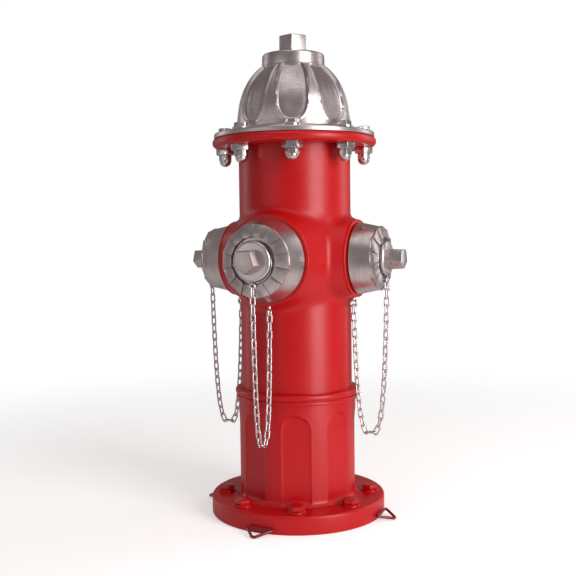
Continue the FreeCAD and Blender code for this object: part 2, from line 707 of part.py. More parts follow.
# ---------------------------------------------------------------- peg loops
def peg_loop(angle):
    """A bent wire triangle: a bar against the foot flange, its point on the ground."""
    wire = value_of("peg_wire_radius")
    bar = value_of("foot_radius") + wire
    half, level = value_of("peg_half_width"), value_of("peg_bar_level")
    corners = [Vector(bar, -half, level), Vector(bar, half, level),
               Vector(value_of("peg_reach") - wire, 0, wire)]
    pieces = [Part.makeSphere(wire, corner) for corner in corners]
    for start, end in zip(corners, corners[1:] + corners[:1]):
        pieces.append(rod_between(start, end, wire))
    loop = pieces[0].fuse(pieces[1:]).removeSplitter()
    loop.rotate(Vector(), Vector(0, 0, 1), angle)
    return loop


def peg_loops():
    return feature("peg_loops", Part.makeCompound([peg_loop(angle) for angle in range(0, 360, 90)]))


# ---------------------------------------------------------------- assembly
def build():
    nodes = [
        base_flange(), lower_barrel(), joint_ring(), barrel_gasket(), upper_barrel(),
        bonnet_gasket(), bonnet(), thrust_washer(), bonnet_collar(), nut_seal(), peg_loops(),
        fasteners("base_washers", base_washer, "foot_bolt_ring"),
        fasteners("base_bolts", base_bolt, "foot_bolt_ring"),
        fasteners("bonnet_bolts", bonnet_bolt, "bonnet_bolt_ring"),
        fasteners("bonnet_nuts", bonnet_nut, "bonnet_bolt_ring"),
        fasteners("bonnet_cap_nuts", bonnet_cap_nut, "bonnet_bolt_ring"),
        operating_nut(), stem_upper(), stem_lower(), stem_coupling(), coupling_pins(),
        stem_disc("valve_top_plate", "plate_radius", "seat_top + valve_height", "plate_height"),
        stem_disc("main_valve", "valve_radius", "seat_top", "valve_height"),
        stem_disc("valve_bottom_plate", "lower_plate_radius", "seat_top - lower_plate_height",
                  "lower_plate_height"),
        valve_nut(), seat_seal(), seat_ring(), stem_guide()]
    for side, (angle, kind) in OUTLETS.items():
        for make in (nozzle, nozzle_seal, cap, cap_gasket, chain_ring, chain_eye):
            nodes.append(make(side, angle, kind))
        nodes += chain(side, angle, kind)
    doc.recompute()
    return nodes


def check(nodes):
    for obj in doc.Objects:
        if {"Invalid", "Error"} & set(obj.State):
            raise RuntimeError(f"{obj.Label}: {obj.State}")
    for node in nodes:
        if node.Shape.isNull() or not node.Shape.isValid() or not node.Shape.Solids:
            raise RuntimeError(f"{node.Label}: bad shape")


def export(nodes):
    os.makedirs("parts", exist_ok=True)
    for node in nodes:
        node.Shape.exportStep(f"parts/{node.Label}.step")
        print(f"{node.Label}: {len(node.Shape.Solids)} solids, {node.Shape.Volume:.0f} mm3")


NODES = build()
check(NODES)
export(NODES)
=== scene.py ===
"""Fire hydrant: the finished look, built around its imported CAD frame.

Metres, the origin on the ground at the barrel's axis, +Z up. The front outlet faces -Y and the two
side outlets face -X and +X. Sizes below are in millimetres and MM turns them to metres.
"""
import math

import bmesh
import bpy
import numpy as np
from mathutils import Matrix, Vector


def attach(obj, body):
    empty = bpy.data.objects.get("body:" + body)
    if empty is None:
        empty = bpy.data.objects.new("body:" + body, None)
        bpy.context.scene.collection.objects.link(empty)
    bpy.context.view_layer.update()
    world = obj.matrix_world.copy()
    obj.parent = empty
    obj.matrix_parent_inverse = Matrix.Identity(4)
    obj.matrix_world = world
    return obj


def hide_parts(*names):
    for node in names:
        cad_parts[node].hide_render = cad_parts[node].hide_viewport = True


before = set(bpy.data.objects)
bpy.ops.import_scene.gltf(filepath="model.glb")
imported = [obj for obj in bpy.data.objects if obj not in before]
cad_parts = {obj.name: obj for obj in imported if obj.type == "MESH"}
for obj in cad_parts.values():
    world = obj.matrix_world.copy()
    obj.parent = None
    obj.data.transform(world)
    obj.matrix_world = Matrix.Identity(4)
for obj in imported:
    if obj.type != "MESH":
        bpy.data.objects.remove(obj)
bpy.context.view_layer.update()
scene = bpy.context.scene

MM = 0.001
TURN_STEPS = 160             # facets round a large turned piece
FINE_STEPS = 384             # facets round a turned piece that carries relief
COUNT = 8                    # bolts, flutes and panels round the barrel
PITCH = math.tau / COUNT
WELD = 0.000002              # points closer than this are one

BARREL_RADIUS = 88.9
BORE_RADIUS = 79.9
OUTLET_LEVEL = 408.0
NECK_END = 108.0
NECK_START = 55.0
NECK_ROOT = 30.0
# Each outlet: its direction's angle about Z, and the sizes that the front and the sides don't share.
SIDE_SIZES = {"neck_start": 81.5, "neck_end": 59.0, "lip": 60.8, "bore": 43.05, "thread": 39.3,
              "cap_back": 55.9, "cap_front": 49.0, "face": 145.0, "end": 182.0, "nut": 17.5,
              "boss": 27.0}
FRONT_SIZES = {"neck_start": 91.0, "neck_end": 67.5, "lip": 69.3, "bore": 50.55, "thread": 46.4,
               "cap_back": 64.4, "cap_front": 54.0, "face": 144.0, "end": 183.5, "nut": 20.0,
               "boss": 30.5}
OUTLETS = {"front": (math.radians(270), FRONT_SIZES), "left": (math.radians(180), SIDE_SIZES),
           "right": (0.0, SIDE_SIZES)}


# ================================================================ hand tools
def nothing_selected():
    if bpy.context.object and bpy.context.object.mode == "EDIT":
        bpy.ops.object.mode_set(mode="OBJECT")
    bpy.ops.object.select_all(action="DESELECT")


def work_on(piece):
    """Makes piece the only selected and active object."""
    nothing_selected()
    piece.select_set(True)
    bpy.context.view_layer.objects.active = piece


def add_blank(name, add, **settings):
    """Adds a primitive at its size and place, with its place moved into its mesh."""
    nothing_selected()
    add(**settings)
    piece = bpy.context.active_object
    piece.name = piece.data.name = name
    bpy.ops.object.transform_apply(location=True, rotation=True, scale=True)
    return piece


def edit(piece):
    """Edit mode, selecting by vertex: a lone vertex can't stay selected in the other modes."""
    bpy.context.tool_settings.mesh_select_mode = (True, False, False)
    work_on(piece)
    bpy.ops.object.mode_set(mode="EDIT")


def pick(piece, kind, test):
    """In edit mode, selects only the verts, edges or faces whose middle passes test."""
    bpy.context.tool_settings.mesh_select_mode = [kind == k for k in ("verts", "edges", "faces")]
    mesh = bmesh.from_edit_mesh(piece.data)
    for part in (*mesh.faces, *mesh.edges, *mesh.verts):
        part.select_set(False)
    for part in getattr(mesh, kind):
        corners = [part] if kind == "verts" else list(part.verts)
        middle = sum((corner.co for corner in corners), Vector()) / (len(corners) * MM)
        part.select_set(bool(test(middle)))
    mesh.select_flush_mode()
    bmesh.update_edit_mesh(piece.data)


def apply_modifier(piece, kind, **settings):
    work_on(piece)
    modifier = piece.modifiers.new(kind.lower(), kind)
    for name, value in settings.items():
        setattr(modifier, name, value)
    bpy.ops.object.modifier_apply(modifier=modifier.name)


def soften_edges(piece, width, segments=3, angle=30):
    """Bevels the edges sharper than angle degrees."""
    apply_modifier(piece, "BEVEL", width=width * MM, segments=segments, limit_method="ANGLE",
                   angle_limit=math.radians(angle), use_clamp_overlap=True)


def smooth(piece, angle=35):
    work_on(piece)
    bpy.ops.object.shade_smooth_by_angle(angle=math.radians(angle))


def weld(piece, reach=WELD):
    """Closes seams and poles and turns every face outward."""
    edit(piece)
    bpy.ops.mesh.select_all(action="SELECT")
    bpy.ops.mesh.remove_doubles(threshold=reach)
    bpy.ops.mesh.normals_make_consistent(inside=False)
    bpy.ops.object.mode_set(mode="OBJECT")


def join(name, pieces):
    nothing_selected()
    for piece in pieces:
        piece.select_set(True)
    bpy.context.view_layer.objects.active = pieces[0]
    if len(pieces) > 1:
        bpy.ops.object.join()
    pieces[0].name = pieces[0].data.name = name
    return pieces[0]


def duplicate(piece, name, placing):
    """A copy with its own mesh, moved by the matrix placing."""
    copy = piece.copy()
    copy.data = piece.data.copy()
    copy.name = copy.data.name = name
    scene.collection.objects.link(copy)
    copy.matrix_world = placing
    work_on(copy)
    bpy.ops.object.transform_apply(location=True, rotation=True, scale=True)
    return copy


def ring_of(piece, name, count, first, ring_radius=0.0):
    """Copies of piece round the Z axis, joined; piece itself is used up."""
    outward = Matrix.Translation((ring_radius * MM, 0, 0))
    copies = []
    for index in range(count):
        turn = Matrix.Rotation(first + index * math.tau / count, 4, "Z")
        copies.append(duplicate(piece, f"{name}_{index}", turn @ outward))
    bpy.data.objects.remove(piece)
    return join(name, copies)


def turned(name, outline, rounds=(), steps=TURN_STEPS, divide=()):
    """Draws half a section corner by corner, rounds corners, divides runs and spins it about Z.

    outline is (radius, height) corners of a closed section; rounds is (radius, height, rounding);
    divide is (low radius, low height, high radius, high height, cuts) for the run inside that box.
    """
    corners = [Vector((radius, 0, height)) * MM for radius, height in outline]
    piece = add_blank(name, bpy.ops.mesh.primitive_plane_add, size=MM, location=corners[0])
    edit(piece)
    bpy.ops.mesh.select_all(action="SELECT")
    bpy.ops.mesh.merge(type="CENTER")
    for here, there in zip(corners, corners[1:] + corners[:1]):
        bpy.ops.mesh.extrude_region_move(TRANSFORM_OT_translate={"value": there - here})
    bpy.ops.mesh.select_all(action="SELECT")
    bpy.ops.mesh.remove_doubles(threshold=WELD)
    for radius, height, rounding in rounds:
        pick(piece, "verts", lambda at: math.hypot(at.x - radius, at.z - height) < 0.05)
        bpy.ops.mesh.bevel(offset=rounding * MM, segments=6, affect="VERTICES")
    for low_radius, low_height, high_radius, high_height, cuts in divide:
        pick(piece, "edges", lambda at: (low_radius < at.x < high_radius
                                         and low_height < at.z < high_height))
        bpy.ops.mesh.subdivide(number_cuts=cuts)
    bpy.ops.mesh.select_all(action="SELECT")
    bpy.ops.mesh.spin(steps=steps, angle=math.tau, center=(0, 0, 0), axis=(0, 0, 1))
    bpy.ops.object.mode_set(mode="OBJECT")
    weld(piece)
    return piece


def outlet_placing(side):
    """Turns what is modelled about +Z, its top at local +X, onto an outlet's axis."""
    angle = OUTLETS[side][0]
    along = Vector((math.cos(angle), math.sin(angle), 0))
    up = Vector((0, 0, 1))
    sideways = along.cross(up)
    turn = Matrix((up, sideways, along)).transposed().to_4x4()
    return Matrix.Translation((0, 0, OUTLET_LEVEL * MM)) @ turn


def onto_outlet(piece, side):
    work_on(piece)
    piece.matrix_world = outlet_placing(side)
    bpy.ops.object.transform_apply(location=True, rotation=True, scale=True)
    return piece


def read_points(piece):
    points = np.empty(len(piece.data.vertices) * 3)
    piece.data.vertices.foreach_get("co", points)
    return points.reshape(-1, 3) / MM


def write_points(piece, points):
    piece.data.vertices.foreach_set("co", (points * MM).ravel())
    piece.data.update()


def soft_step(value, start, end):
    """0 before start, 1 after end, and an even curve between."""
    share = np.clip((value - start) / (end - start), 0, 1)
    return share * share * (3 - 2 * share)


def raise_relief(piece, heights):
    """Pushes each point of the surface out by its height, in millimetres, with a Displace modifier."""
    depth = float(np.abs(heights).max())
    for sign, name in ((1, "raised"), (-1, "sunk")):
        group = piece.vertex_groups.new(name=name)
        for index in np.nonzero(heights * sign > 1e-4)[0]:
            group.add([int(index)], float(abs(heights[index]) / depth), "REPLACE")
        apply_modifier(piece, "DISPLACE", direction="NORMAL", mid_level=0.0,
                       strength=sign * depth * MM, vertex_group=name)
    piece.vertex_groups.clear()


def nearest_station(points):
    """Each point's distance along the circle from the nearest flute, panel or bolt direction."""
    angle = np.arctan2(points[:, 1], points[:, 0])
    offset = (angle + PITCH) % PITCH - PITCH / 2
    return np.hypot(points[:, 0], points[:, 1]) * offset


# ================================================================ finishes
def linear(colour):
    """sRGB hex to linear RGBA."""
    channels = [int(colour[place:place + 2], 16) / 255 for place in (1, 3, 5)]
    return [c / 12.92 if c <= 0.04045 else ((c + 0.055) / 1.055) ** 2.4 for c in channels] + [1.0]


def add_node(tree, kind, inputs=None, **settings):
    """Adds a node; each input is a value or the output socket that feeds it."""
    made = tree.nodes.new(kind)
    for name, value in settings.items():
        setattr(made, name, value)
    for name, value in (inputs or {}).items():
        if isinstance(value, bpy.types.NodeSocket):
            tree.links.new(value, made.inputs[name])
        else:
            made.inputs[name].default_value = value
    return made


def start_finish(name):
    finish = bpy.data.materials.new(name)
    finish.use_nodes = True
    tree = finish.node_tree
    tree.nodes.clear()
    place = add_node(tree, "ShaderNodeTexCoord").outputs["Object"]
    return finish, tree, place


def end_finish(finish, tree, inputs):
    shader = add_node(tree, "ShaderNodeBsdfPrincipled", inputs)
    add_node(tree, "ShaderNodeOutputMaterial", {"Surface": shader.outputs["BSDF"]})
    return finish


def grain(tree, place, size, detail=2.0, roughness=0.5):
    """Noise whose spots are about size millimetres across."""
    return add_node(tree, "ShaderNodeTexNoise",
                    {"Vector": place, "Scale": 1 / (size * MM), "Detail": detail,
                     "Roughness": roughness}).outputs["Fac"]


def between(tree, share, low, high, low_share=0.3, high_share=0.7):
    """Turns a 0 to 1 pattern into a value from low to high."""
    return add_node(tree, "ShaderNodeMapRange",
                    {"Value": share, "From Min": low_share, "From Max": high_share,
                     "To Min": low, "To Max": high}).outputs["Result"]


def tint(tree, share, first, second):
    mix = add_node(tree, "ShaderNodeMix", data_type="RGBA")
    tree.links.new(share, mix.inputs[0])
    mix.inputs[6].default_value = linear(first)
    mix.inputs[7].default_value = linear(second)
    return mix.outputs[2]


def dented(tree, height, depth, strength=1.0, under=None):
    """Bump whose relief is depth millimetres."""
    inputs = {"Height": height, "Distance": depth * MM, "Strength": strength}
    if under is not None:
        inputs["Normal"] = under
    return add_node(tree, "ShaderNodeBump", inputs).outputs["Normal"]


def baked_enamel(name, colour, shade, roughness, coat):
    """Baked enamel over cast iron: a deep even colour, soft wide highlights, a faint orange peel
    from the spray and the casting's slow unevenness under it."""
    finish, tree, place = start_finish(name)
    cast_waves = grain(tree, place, 26, detail=1.0)
    orange_peel = grain(tree, place, 2.6, detail=1.5)
    cloud = grain(tree, place, 60, detail=3.0)
    surface = dented(tree, cast_waves, 0.25, 0.35)
    surface = dented(tree, orange_peel, 0.03, 0.30, surface)
    return end_finish(finish, tree, {
        "Base Color": tint(tree, cloud, colour, shade),
        "Roughness": between(tree, grain(tree, place, 14), roughness - 0.03, roughness + 0.04),
        "Coat Weight": coat, "Coat Roughness": 0.16, "IOR": 1.45, "Normal": surface})


def turning_lines(tree, place, axis, centre, spacing):
    """Noise drawn out round an axis, as a lathe tool or a brushing wheel leaves it."""
    moved = add_node(tree, "ShaderNodeMapping",
                     {"Vector": place, "Location": [-c * MM for c in centre]}).outputs["Vector"]
    parts = add_node(tree, "ShaderNodeSeparateXYZ", {"Vector": moved})
    across = [parts.outputs[name] for name in "XYZ" if name != axis]
    squares = [add_node(tree, "ShaderNodeMath", {0: part, 1: 2.0}, operation="POWER").outputs[0]
               for part in [add_node(tree, "ShaderNodeMath", {0: side}, operation="ABSOLUTE")
                            .outputs[0] for side in across]]
    total = add_node(tree, "ShaderNodeMath", {0: squares[0], 1: squares[1]}).outputs[0]
    radius = add_node(tree, "ShaderNodeMath", {0: total}, operation="SQRT").outputs[0]
    slow = [add_node(tree, "ShaderNodeMath", {0: side, 1: 0.07}, operation="MULTIPLY").outputs[0]
            for side in across]
    drift = add_node(tree, "ShaderNodeMath", {0: slow[0], 1: slow[1]}).outputs[0]
    drawn = add_node(tree, "ShaderNodeCombineXYZ",
                     {"X": radius, "Y": parts.outputs[axis], "Z": drift}).outputs["Vector"]
    return grain(tree, drawn, spacing, detail=3.0, roughness=0.65)


def turned_aluminium(name, axis, centre, light, dark, roughness, spacing=1.9):
    """Cast aluminium, turned and brushed round its axis: warm grey, satin, with fine rings.
    Real rings are 0.2 to 0.4 mm apart; they are drawn at about 2 mm so that they show."""
    finish, tree, place = start_finish(name)
    rings = turning_lines(tree, place, axis, centre, spacing)
    stain = grain(tree, place, 35, detail=4.0)
    pores = grain(tree, place, 1.6, detail=2.0)
    share = add_node(tree, "ShaderNodeMath", {0: rings, 1: stain}, operation="MULTIPLY").outputs[0]
    share = between(tree, share, 0.0, 1.0, 0.12, 0.42)
    surface = dented(tree, pores, 0.02, 0.25)
    surface = dented(tree, rings, 0.035, 0.5, surface)
    return end_finish(finish, tree, {
        "Base Color": tint(tree, share, dark, light), "Metallic": 1.0,
        "Roughness": between(tree, rings, roughness + 0.07, roughness - 0.05),
        "Normal": surface})


def plated_steel(name, light, dark, roughness, spot=5.0):
    """Nickel-plated steel: bright and cool, with a faint haze and tiny pits in the plating."""
    finish, tree, place = start_finish(name)
    haze = grain(tree, place, spot, detail=3.0)
    pits = grain(tree, place, 0.9, detail=1.0)
    return end_finish(finish, tree, {
        "Base Color": tint(tree, haze, light, dark), "Metallic": 1.0,
        "Roughness": between(tree, haze, roughness - 0.04, roughness + 0.08),
        "Normal": dented(tree, pits, 0.012, 0.4)})


def machined_metal(name, axis, centre, light, dark, roughness, spacing=1.2):
    """Machined metal: fine tool rings that break the shine up and a little tarnish."""
    finish, tree, place = start_finish(name)
    rings = turning_lines(tree, place, axis, centre, spacing)
    tarnish = grain(tree, place, 18, detail=4.0)
    return end_finish(finish, tree, {
        "Base Color": tint(tree, tarnish, light, dark), "Metallic": 1.0,
        "Roughness": between(tree, rings, roughness - 0.05, roughness + 0.08),
        "Normal": dented(tree, rings, 0.02, 0.5)})


def cast_iron(name):
    """Sand-cast grey iron: dark, rough, with sand grains' pits of about a millimetre."""
    finish, tree, place = start_finish(name)
    sand = grain(tree, place, 1.4, detail=4.0)
    rust = grain(tree, place, 20, detail=5.0)
    return end_finish(finish, tree, {
        "Base Color": tint(tree, rust, "#4A4644", "#6B4A3A"), "Metallic": 0.6,
        "Roughness": between(tree, sand, 0.55, 0.8), "Normal": dented(tree, sand, 0.25, 0.6)})


def moulded_rubber(name, colour, shade, roughness):
    """Moulded rubber: nearly black, matt, with a bloom that greys it in patches."""
    finish, tree, place = start_finish(name)
    bloom = grain(tree, place, 9, detail=4.0)
    skin = grain(tree, place, 0.8, detail=2.0)
    return end_finish(finish, tree, {
        "Base Color": tint(tree, bloom, colour, shade),
        "Roughness": between(tree, bloom, roughness - 0.08, roughness + 0.08),
        "IOR": 1.52, "Normal": dented(tree, skin, 0.05, 0.5)})


def moulded_acetal(name):
    """Moulded acetal bearing plastic: off-white, waxy, faint flow marks."""
    finish, tree, place = start_finish(name)
    flow = grain(tree, place, 7, detail=2.0)
    return end_finish(finish, tree, {
        "Base Color": tint(tree, flow, "#E9E5DA", "#DAD4C5"),
        "Roughness": between(tree, flow, 0.32, 0.42), "IOR": 1.48,
        "Normal": dented(tree, flow, 0.02, 0.4)})


BARREL_AXIS = (0, 0, 0)
OUTLET_AXIS = (0, 0, OUTLET_LEVEL)
AXIS_OF = {"front": "Y", "left": "X", "right": "X"}
RED = baked_enamel("red_enamel_on_cast_iron", "#C4050E", "#B8040C", 0.36, 0.06)
BOLT_RED = baked_enamel("red_enamel_on_bolts", "#C4070F", "#AE060D", 0.28, 0.3)
WIRE_RED = baked_enamel("red_dipped_wire", "#8E0F14", "#6E0A0E", 0.30, 0.4)
SILVER = turned_aluminium("brushed_cast_aluminium", "Z", BARREL_AXIS, "#DDD3D2", "#B3A8A7", 0.34)
CAP_SILVER = {side: turned_aluminium(f"turned_aluminium_{side}_cap", AXIS_OF[side], OUTLET_AXIS,
                                     "#E0D6D5", "#B8ADAC", 0.31) for side in OUTLETS}
FASTENER = plated_steel("zinc_plated_steel", "#E2DEDD", "#C3BAB6", 0.20)
CHAIN = plated_steel("nickel_plated_chain_wire", "#E8E4E4", "#C9C2C2", 0.18, spot=3.0)
BRASS = {side: machined_metal(f"machined_brass_{side}", AXIS_OF[side], OUTLET_AXIS, "#C9A557",
                              "#A9853F", 0.26) for side in OUTLETS}
SEAT_BRASS = machined_metal("machined_bronze_seat", "Z", BARREL_AXIS, "#BE9450", "#9A7239", 0.28)
STEM_STEEL = machined_metal("ground_stem_steel", "Z", BARREL_AXIS, "#B9B8B6", "#94928F", 0.27)
IRON = cast_iron("sand_cast_iron")
RUBBER = moulded_rubber("moulded_black_rubber", "#1C1B1B", "#2A2928", 0.62)
VALVE_RUBBER = moulded_rubber("moulded_valve_rubber", "#2A2321", "#3B3330", 0.58)
GASKET = moulded_rubber("pressed_gasket_sheet", "#4C4A45", "#5E5B54", 0.78)
ACETAL = moulded_acetal("moulded_acetal_bearing")


def give(piece, finish):
    piece.data.materials.clear()
    piece.data.materials.append(finish)


def hand_over(piece, finish, body, slot, *nodes, angle=35):
    """Shades a finished piece, gives it its finish and body, and hides the CAD parts that it stands in
    for.
    """
    smooth(piece, angle)
    give(piece, finish)
    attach(piece, body)
    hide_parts(*nodes)
    return piece


# ================================================================ foot
FOOT_RADIUS = 139.7
FOOT_TOP = 29.0
LOWER_RADIUS = 94.1
PANEL_FLAT = 90.4            # distance of a panel's flat floor from the barrel's axis
PANEL_HALF_WIDTH = 22.0
PANEL_TOP = 168.0
RING_BOTTOM, RING_TOP = 182.0, 202.0


def foot_flange():
    """The bolted foot: a thick disc with soft edges, open in the middle."""
    outline = [(70, 0), (FOOT_RADIUS, 0), (FOOT_RADIUS, FOOT_TOP), (89.9, FOOT_TOP), (89.9, 12),
               (70, 12)]
    disc = turned("foot_flange", outline,
                  rounds=[(FOOT_RADIUS, 0, 2.5), (FOOT_RADIUS, FOOT_TOP, 4.0)])
    return hand_over(disc, RED, "hydrant", "red_enamel", "base_flange")


def panelled_barrel():
    """The lower barrel: eight sunk panels with flat floors and round tops, and a flared foot."""
    outline = [(BORE_RADIUS, 12), (89.85, 12), (89.85, FOOT_TOP), (LOWER_RADIUS + 5, FOOT_TOP),
               (LOWER_RADIUS, FOOT_TOP + 5), (LOWER_RADIUS, RING_BOTTOM + 1),
               (88.85, RING_BOTTOM + 1), (88.85, 190.5), (BORE_RADIUS, 190.5)]
    pipe = turned("panelled_barrel", outline, rounds=[(LOWER_RADIUS, FOOT_TOP + 5, 3.0)],
                  steps=FINE_STEPS,
                  divide=[(LOWER_RADIUS - 0.1, 50, LOWER_RADIUS + 0.1, 150, 96)])
    points = read_points(pipe)
    across, level = nearest_station(points), points[:, 2]
    arch_level = PANEL_TOP - PANEL_HALF_WIDTH
    above = np.clip(level - arch_level, 0, None)
    inside = PANEL_HALF_WIDTH - np.hypot(across, above)
    radius = np.hypot(points[:, 0], points[:, 1])
    floor = PANEL_FLAT / np.cos(across / np.maximum(radius, 1))
    on_outside = (radius > LOWER_RADIUS - 0.2) & (level > FOOT_TOP + 0.2) & (level < RING_BOTTOM)
    # the floors run out to meet the flared foot
    sunk = soft_step(inside, -1.3, 1.3) * on_outside * soft_step(level, FOOT_TOP + 1, FOOT_TOP + 9)
    rim = 0.35 * np.exp(-((inside + 1.6) / 1.5) ** 2) * on_outside
    rim *= soft_step(LOWER_RADIUS - radius + 0.5, 0.0, 0.5)
    raise_relief(pipe, sunk * (floor - radius) + rim * (1 - sunk))
    return hand_over(pipe, RED, "hydrant", "red_enamel", "lower_barrel", angle=50)


def joint_bead():
    """The ring over the barrel joint: a heavy upper bead, a lighter one below and a step."""
    outline = [(88.95, RING_BOTTOM), (95.4, RING_BOTTOM), (95.4, 185.4), (97.9, 185.9),
               (97.9, 190.2), (95.8, 191.4), (95.8, 192.6), (99.3, 193.6), (99.3, RING_TOP),
               (88.95, RING_TOP)]
    rounds = [(97.9, 185.9, 1.5), (97.9, 190.2, 2.0), (99.3, 193.6, 2.2), (99.3, RING_TOP, 4.0)]
    return hand_over(turned("joint_bead", outline, rounds), RED, "hydrant", "red_enamel",
                     "joint_ring", angle=50)


# ================================================================ upper barrel
FLANGE_BOTTOM, FLANGE_TOP = 583.9, 598.3
FLANGE_RADIUS = 130.3
NECK_BLEND = 9.0             # fillet between a neck and the barrel
CREASE_BLEND = 4.0           # fillet between neighbouring necks
SKIN_BOTTOM, SKIN_TOP = 192.1, 597.5
NECK_OVERRUN = 6             # how far a rough neck runs past its end before it is cut
RIM_REACH = NECK_END - 1.0   # the skin's open rims lie just inside the lips
ON_CUT = 0.01                # a point this close to a cutting plane was made by the cut
SKIN_GRID = 2.7
SETTLE_PASSES = 6
SLIVER = 0.0009              # cut rims leave points this close, whose faces would spoil the wall


def blended(first, second, blend):
    """The nearer of two surfaces' distances, filleted where they meet."""
    overlap = np.clip(blend - np.abs(first - second), 0, None)
    return np.minimum(first, second) - overlap ** 2 / (4 * blend)


def neck_distance(points, angle, sizes):
    """How far points lie outside a neck: a cone that closes in again inside the barrel."""
    along = points[:, 0] * math.cos(angle) + points[:, 1] * math.sin(angle)
    aside = points[:, 1] * math.cos(angle) - points[:, 0] * math.sin(angle)
    reach = np.hypot(aside, points[:, 2] - OUTLET_LEVEL)
    taper = (sizes["neck_start"] - sizes["neck_end"]) / (NECK_END - NECK_START)
    cone_radius = sizes["neck_start"] - taper * (along - NECK_START)
    root_radius = sizes["neck_start"] + (along - NECK_ROOT)
    cylinder_radius = np.full_like(along, sizes["neck_start"])
    radius = blended(blended(cone_radius, cylinder_radius, 4.0), root_radius, 8.0)
    return (reach - radius) / math.hypot(1, taper)


def skin_distance(points):
    necks = [neck_distance(points, *outlet) for outlet in OUTLETS.values()]
    union = blended(blended(necks[0], necks[1], CREASE_BLEND), necks[2], CREASE_BLEND)
    return blended(np.hypot(points[:, 0], points[:, 1]) - BARREL_RADIUS, union, NECK_BLEND)


def settle(piece):
    """Moves every point of the rough skin onto the filleted surface."""
    points = read_points(piece)
    nudge = 0.01
    for _ in range(SETTLE_PASSES):
        here = skin_distance(points)
        slope = np.stack([(skin_distance(points + nudge * step) - here) / nudge
                          for step in np.eye(3)], axis=1)
        points -= here[:, None] * slope / np.maximum((slope ** 2).sum(1), 0.2)[:, None]
    write_points(piece, points)


def open_end(piece, at, direction):
    """Cuts away what lies beyond a plane and leaves a clean open rim."""
    edit(piece)
    bpy.ops.mesh.select_all(action="SELECT")
    bpy.ops.mesh.bisect(plane_co=Vector(at) * MM, plane_no=direction, clear_outer=True)
    bpy.ops.object.mode_set(mode="OBJECT")


def barrel_skin():
    """The upper barrel's wall with its three necks, filleted together like one casting."""
    low, high = 180.0, 610.0
    blanks = [add_blank("barrel_blank", bpy.ops.mesh.primitive_cylinder_add, vertices=192,
                        radius=BARREL_RADIUS * MM, depth=(high - low) * MM,
                        location=(0, 0, (low + high) / 2 * MM))]
    for side, (_, sizes) in OUTLETS.items():
        length = NECK_END + NECK_OVERRUN - NECK_ROOT
        taper = (sizes["neck_start"] - sizes["neck_end"]) / (NECK_END - NECK_START)
        neck = add_blank(f"{side}_neck_blank", bpy.ops.mesh.primitive_cone_add, vertices=128,
                         radius1=sizes["neck_start"] * MM,
                         radius2=(sizes["neck_end"] - NECK_OVERRUN * taper) * MM, depth=length * MM,
                         location=(0, 0, (NECK_ROOT + length / 2) * MM))
        blanks.append(onto_outlet(neck, side))
    skin = join("barrel_skin", blanks)
    apply_modifier(skin, "REMESH", mode="VOXEL", voxel_size=SKIN_GRID * MM, adaptivity=0.0)
    open_end(skin, (0, 0, SKIN_BOTTOM), (0, 0, -1))
    open_end(skin, (0, 0, SKIN_TOP), (0, 0, 1))
    headings = [(math.cos(angle), math.sin(angle), 0) for angle, _ in OUTLETS.values()]
    for heading in headings:
        open_end(skin, [RIM_REACH * part for part in heading], heading)
    cut = read_points(skin)
    settle(skin)
    points = read_points(skin)
    for heading in headings:
        outward = np.array(heading)
        on_rim = np.abs(cut @ outward - RIM_REACH) < ON_CUT
        points[on_rim] += (RIM_REACH - points[on_rim] @ outward)[:, None] * outward
    for level in (SKIN_BOTTOM, SKIN_TOP):
        points[np.abs(cut[:, 2] - level) < ON_CUT, 2] = level
    write_points(skin, points)
    weld(skin, SLIVER)
    edit(skin)
    pick(skin, "faces", lambda at: any(abs(at.dot(heading) - RIM_REACH) < 2 * ON_CUT
                                       for heading in map(Vector, headings)))
    bpy.ops.mesh.delete(type="FACE")
    bpy.ops.object.mode_set(mode="OBJECT")
    apply_modifier(skin, "SOLIDIFY", thickness=(BARREL_RADIUS - BORE_RADIUS) * MM, offset=-1.0)
    return skin


def top_flange():
    """The bonnet's seat: a full-round rim, and a fillet down to the barrel under it."""
    outline = [(BORE_RADIUS + 0.1, FLANGE_TOP), (FLANGE_RADIUS, FLANGE_TOP),
               (FLANGE_RADIUS, FLANGE_BOTTOM), (89.0, FLANGE_BOTTOM), (89.0, 576.0),
               (BORE_RADIUS + 0.1, 576.0)]
    return turned("top_flange", outline,
                  rounds=[(FLANGE_RADIUS, FLANGE_TOP, 6.4), (FLANGE_RADIUS, FLANGE_BOTTOM, 7.2)])


def neck_lip(side):
    """The thin raised lip at a neck's end, which closes the wall round the nozzle."""
    sizes = OUTLETS[side][1]
    outline = [(sizes["bore"], NECK_END - 9), (sizes["bore"] + 4.2, NECK_END - 9),
               (sizes["neck_end"] - 1.5, NECK_END - 4.2), (sizes["lip"], NECK_END - 4.2),
               (sizes["lip"], NECK_END), (sizes["bore"], NECK_END)]
    ring = turned(f"{side}_neck_lip", outline,
                  rounds=[(sizes["lip"], NECK_END - 4.2, 1.3), (sizes["lip"], NECK_END, 1.6)],
                  steps=96)
    return onto_outlet(ring, side)


def upper_barrel():
    pieces = [barrel_skin(), top_flange()] + [neck_lip(side) for side in OUTLETS]
    for piece in pieces:
        hand_over(piece, RED, "hydrant", "red_enamel", "upper_barrel", angle=40)


